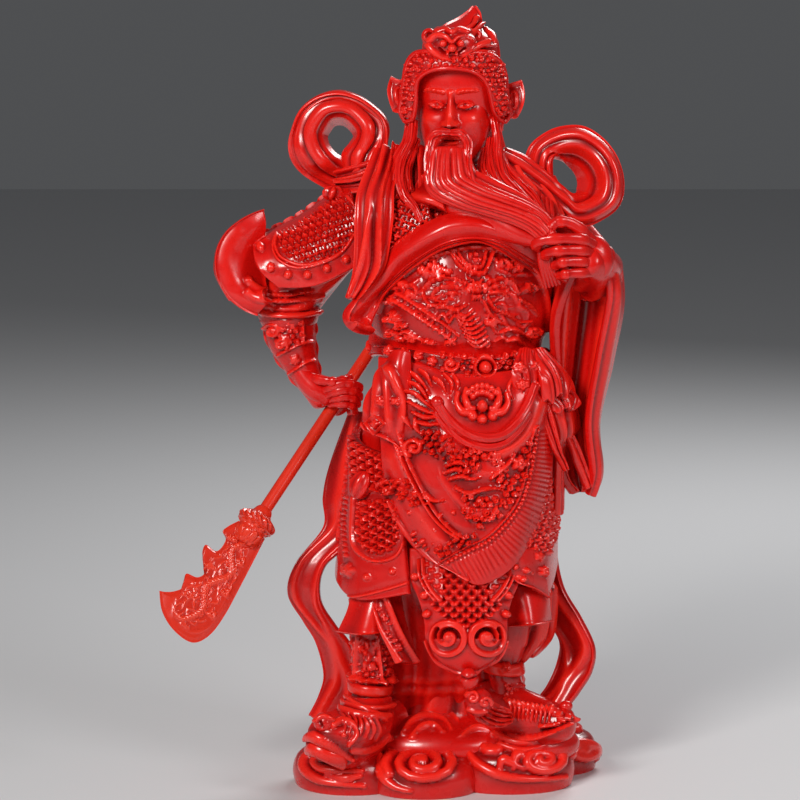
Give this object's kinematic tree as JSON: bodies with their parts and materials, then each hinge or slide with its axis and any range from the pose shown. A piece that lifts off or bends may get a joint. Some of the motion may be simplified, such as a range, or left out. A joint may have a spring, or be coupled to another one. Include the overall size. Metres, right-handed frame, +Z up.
{
  "type": "standing warrior figurine",
  "caption": "Glossy red cast figure of a robed, armoured warrior on a cloud plinth, holding his beard and a separate pole blade, for display on a shelf.",
  "frame": {"origin": "on the flat underside of the cloud plinth, below the figure, at the middle of the plinth's named width and depth", "axes": "+Z up along the figure, -Y the way the figure faces, +X towards the figure's left hand, which holds the beard"},
  "size_m": [0.1784, 0.0887, 0.3],
  "materials": {
    "figure_resin": "gloss",
    "glaive_resin": "gloss"
  },
  "bodies": {
    "root": {"figure": "figure_resin", "glaive": "glaive_resin"}
  },
  "joints": []
}
